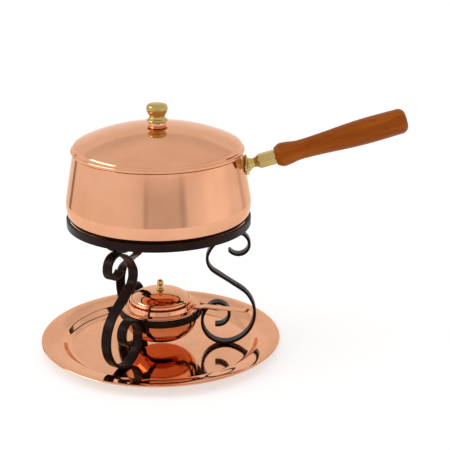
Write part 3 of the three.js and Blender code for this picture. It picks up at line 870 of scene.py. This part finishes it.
def make_strip_rivets():
    """The two small rivets that hold the strip to the burner's flange."""
    under, over, shank, beside = TOP_BOTTOM, STRIP_UNDERSIDE + STRIP, 0.8, 2.6
    lower_head, upper_head = dome(1.4, under, -0.7)[::-1], dome(1.5, over, 0.8)
    outline = [*lower_head, *points((shank, under), (shank, over)), *upper_head]
    for number, across in enumerate((-beside, beside), 1):
        reach = Vector((BURNER_STEP_RADIUS + 2.6, across, 0))
        place = about_z(STRIP_ANGLE) @ Matrix.Translation(reach)
        shape = turned(outline, 32, closed=False)
        name, node_name = f"strip_rivet_{number}", f"burner_rivet_{number}"
        piece(name, shape, "burner", "copper", copper, node_name, place=place)


def make_gauze():
    """Woven wire: two sets of waved wires that pass over and under each other, in a rolled rim."""
    reach, pitch, wire, wave = high("burner_gauze").x - 0.9, 2.0, 0.22, 0.17
    level = (low("burner_gauze").z + high("burner_gauze").z) / 2
    east, north, up = Vector((1, 0, 0)), Vector((0, 1, 0)), Vector((0, 0, 1))
    shape = bmesh.new()
    count = int(reach / pitch)
    for crossing, (lengthwise, sideways) in enumerate(((east, north), (north, east))):
        for i in range(-count, count + 1):
            across = i * pitch
            half = math.sqrt(reach**2 - across**2)
            steps = max(4, int(2 * half / (pitch / 4)))
            rings = []
            for k in range(steps + 1):
                along = -half + 2 * half * k / steps
                height = level + wave * math.cos(math.pi * (along / pitch + i + crossing))
                spot = along * lengthwise + across * sideways + height * up
                rings.append([spot + wire * (math.cos(a) * sideways + math.sin(a) * up) for a in spokes(6)])
            loft(rings, capped=True, shape=shape)
    rim = arc(reach, level, 0.38, 0, 330, 11)
    turned(rim, SMALL_TURNS, shape=shape)
    piece("wire_gauze", shape, "burner", "steel", steel, "burner_gauze")


def make_pad():
    """Matted wool with an uneven, tufted surface."""
    bottom, top = low("burner_pad").z, high("burner_pad").z
    edge, corner, face = high("burner_pad").x - 0.6, 1.2, top - 0.7
    outline = [Vector((edge * i / 24, face)) for i in range(25)]
    outline += arc(edge - corner, face - corner, corner, 80, 0, 6)
    outline += [Vector((edge, bottom + (top - bottom - 3) * i / 8)) for i in range(8, -1, -1)]
    outline += points((edge * 0.6, bottom + 0.4), (0, bottom + 0.4))
    shape = turned(outline, closed=False)
    shape.normal_update()
    for vert in shape.verts:
        tuft = noise.noise(vert.co * 0.55) + 0.5 * noise.noise(vert.co * 1.7)
        vert.co += vert.normal * 0.4 * tuft
    piece("wool_pad", shape, "burner", "wool", wool, "burner_pad")


# ---- Snuffer ----

SNUFFER_BEAD = 2.2
SNUFFER_SHEET = 1
SNUFFER_FACETS = 28    # of the CAD's rim, whose box reaches only to the middle of a facet
SNUFFER_HOLE = 1.8
SNUFFER_EDGE = high("snuffer_lid").x / math.cos(math.pi / SNUFFER_FACETS) - SNUFFER_BEAD
SNUFFER_BASE = STEP_TOP + GAP + SNUFFER_BEAD
SNUFFER_CROWN = high("snuffer_lid").z


def make_snuffer():
    """The snuffer's domed sheet with a rolled bead, and its small ball knob."""
    half = SNUFFER_SHEET / 2
    path = bent_path(SNUFFER_HOLE, SNUFFER_CROWN - half, 0, [(75, -14), (22, -26), (5, -35)], step=1.5)
    rolled = arc(SNUFFER_EDGE, SNUFFER_BASE, SNUFFER_BEAD, -150, 90, 20)
    outline = [*offset(path, -half), *rolled, *offset(path, half)[::-1]]
    shape = turned(eased(outline, 0.3))
    piece("copper_snuffer", shape, "snuffer", "copper", copper, "snuffer_lid")
    base, ball = low("snuffer_knob").z, 3.6
    neck = smooth_curve(points((4, 0.4), (3.7, 1.3), (2.5, 2.4), (2.1, 3.6), (2.35, 4.7)), 5)
    foot, hole_end = points((SNUFFER_HOLE, 0), (3.8, 0)), points((0, 5), (SNUFFER_HOLE, 5))
    outline = [*foot, *neck, *arc(0, 7.5, ball, -42, 90, 18), *hole_end]
    shape = turned([Vector((max(r, 0), z + base)) for r, z in outline], 64)
    piece("brass_snuffer_knob", shape, "snuffer", "brass", brass, "snuffer_knob")


# ---- Build ----

make_tray()
make_ring("iron_pot_ring", "pot_ring", BAR + 0.3, 0.35)
make_ring("iron_burner_ring", "burner_ring", BAR, 0.8)
for leg_number, leg_angle in enumerate(LEG_ANGLES, 1):
    make_leg(leg_number, leg_angle)
make_weld_dab()
make_pot()
make_plate()
make_rivets()
make_neck()
make_ferrule()
make_grip()
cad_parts["handle_rod"].data.materials.clear()
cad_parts["handle_rod"].data.materials.append(steel)
make_lid()
make_lid_knob()
make_screw("lid_round_screw", "lid_screw", "lid", 2, 4)
make_bowl()
make_burner_top()
make_strip()
make_strip_rivets()
make_gauze()
make_pad()
make_snuffer()
make_screw("snuffer_round_screw", "snuffer_screw", "snuffer", 1.5, 2.8)


# ---- Studio ----

def make_floor():
    """A pale, softly lit floor that fills the view."""
    shape = bmesh.new()
    bmesh.ops.create_grid(shape, x_segments=8, y_segments=8, size=9000)
    material, tree, shader = new_material(
        "pale_floor", Roughness=0.9, Specular_IOR_Level=0.1,
        Emission_Color=(1, 1, 1, 1), Emission_Strength=0.54)
    vector = node(tree, "ShaderNodeTexCoord").outputs["Object"]
    tone = blend(tree, grain(tree, vector, 3), (0.49, 0.49, 0.49), (0.51, 0.51, 0.51))
    tree.links.new(tone, shader.inputs["Base Color"])
    floor = to_object("floor", shape, [material])
    floor.location.z = -0.0004


def band(tree, value, centre, half, soft):
    """1 within half of the centre, falling to 0 over the soft margin."""
    away = node(tree, "ShaderNodeMath", {0: value, 1: centre}, operation="SUBTRACT").outputs[0]
    away = node(tree, "ShaderNodeMath", {0: away}, operation="ABSOLUTE").outputs[0]
    return spread(tree, away, 1, 0, half - soft, half + soft)


def make_screens():
    """A low ring of white screens round the table that only the polished metal sees.

    A gap between them is (azimuth, half width, soft edge, depth) and a negative depth is a brighter screen;
    azimuth 0 is in front of the pot and 90 is on the +X side, in degrees.
    """
    gaps = [
        (8.5, 34, 15, 0.12),
        (10.5, 25, 3, 0.20),
        (-11.2, 2, 3, 0.16),
        (30, 3, 3, 0.18),
        (-127, 4, 3, 0.65),
        (124, 5, 4, 0.22),
        (75, 17, 13, -0.16),
    ]
    radius, height = 700, 300
    shape = loft([circle(radius, z, SMALL_TURNS) for z in (1, height)])
    material = bpy.data.materials.new("white_screens")
    material.use_nodes = True
    tree = material.node_tree
    vector = node(tree, "ShaderNodeTexCoord").outputs["Object"]
    parts = node(tree, "ShaderNodeSeparateXYZ", {0: vector}).outputs
    front = product(tree, parts["Y"], -1.0)
    azimuth = node(tree, "ShaderNodeMath", {0: parts["X"], 1: front}, operation="ARCTAN2").outputs[0]
    azimuth = node(tree, "ShaderNodeMath", {0: azimuth}, operation="DEGREES").outputs[0]
    lower_part = spread(tree, parts["Z"], 1, 0, 0.2, 0.28)
    light = 1.0
    for centre, half, soft, depth in gaps:
        inside = product(tree, band(tree, azimuth, centre, half, soft), lower_part)
        light = product(tree, light, spread(tree, inside, 1, 1 - depth, 0, 1))
    glow = node(tree, "ShaderNodeEmission", {"Color": (1.0, 0.995, 0.985, 1), "Strength": light})
    tree.links.new(glow.outputs[0], tree.nodes["Material Output"].inputs["Surface"])
    tree.nodes.remove(tree.nodes["Principled BSDF"])
    screens = to_object("screens", shape, [material])
    screens.visible_camera = False
    screens.visible_diffuse = False
    screens.visible_shadow = False


def make_world():
    """Soft white light from all round, a little dimmer overhead, with a seam above the backdrop."""
    world = bpy.data.worlds.new("studio")
    bpy.context.scene.world = world
    world.use_nodes = True
    tree = world.node_tree
    direction = node(tree, "ShaderNodeTexCoord").outputs["Generated"]
    height = node(tree, "ShaderNodeSeparateXYZ", {0: direction}).outputs["Z"]
    elevation = node(tree, "ShaderNodeMath", {0: height}, operation="ARCSINE").outputs[0]
    elevation = node(tree, "ShaderNodeMath", {0: elevation}, operation="DEGREES").outputs[0]
    haze, seam = spread(tree, elevation, 1.0, 0.93, 10, 20), spread(tree, elevation, 1.0, 0.84, 28.5, 31.5)
    light = product(tree, product(tree, haze, seam), spread(tree, elevation, 1.0, 1.14, 32, 46))
    tree.links.new(light, tree.nodes["Background"].inputs["Strength"])
    tree.nodes["Background"].inputs["Color"].default_value = (1.0, 0.995, 0.985, 1)


def make_light(name, place, size, power, target=(0, 0, 0.13)):
    """A rectangular softbox aimed at the object."""
    lamp = bpy.data.lights.new(name, "AREA")
    lamp.shape = "RECTANGLE"
    lamp.size, lamp.size_y = size
    lamp.energy = power
    made = bpy.data.objects.new(name, lamp)
    made.location = place
    made.rotation_euler = (Vector(target) - Vector(place)).to_track_quat("-Z", "Y").to_euler()
    bpy.context.scene.collection.objects.link(made)
    return made


def make_camera():
    """A long lens a little above the set, level with its front."""
    camera = bpy.data.cameras.new("camera")
    camera.lens = 96
    camera.sensor_width = 36
    made = bpy.data.objects.new("camera", camera)
    made.location = (0.0683, -1.1792, 0.5331)
    made.rotation_euler = (math.radians(90 - 18.67), 0, 0)
    bpy.context.scene.collection.objects.link(made)
    bpy.context.scene.camera = made


make_floor()
make_screens()
make_world()
make_light("left_softbox", (-1.5, -0.2, 1.15), (1.3, 0.35), 7)
overhead = make_light("overhead", (0, 0, 2.4), (2.6, 2.6), 6)
overhead.visible_glossy = False
make_camera()
bpy.context.scene.view_settings.view_transform = "Standard"
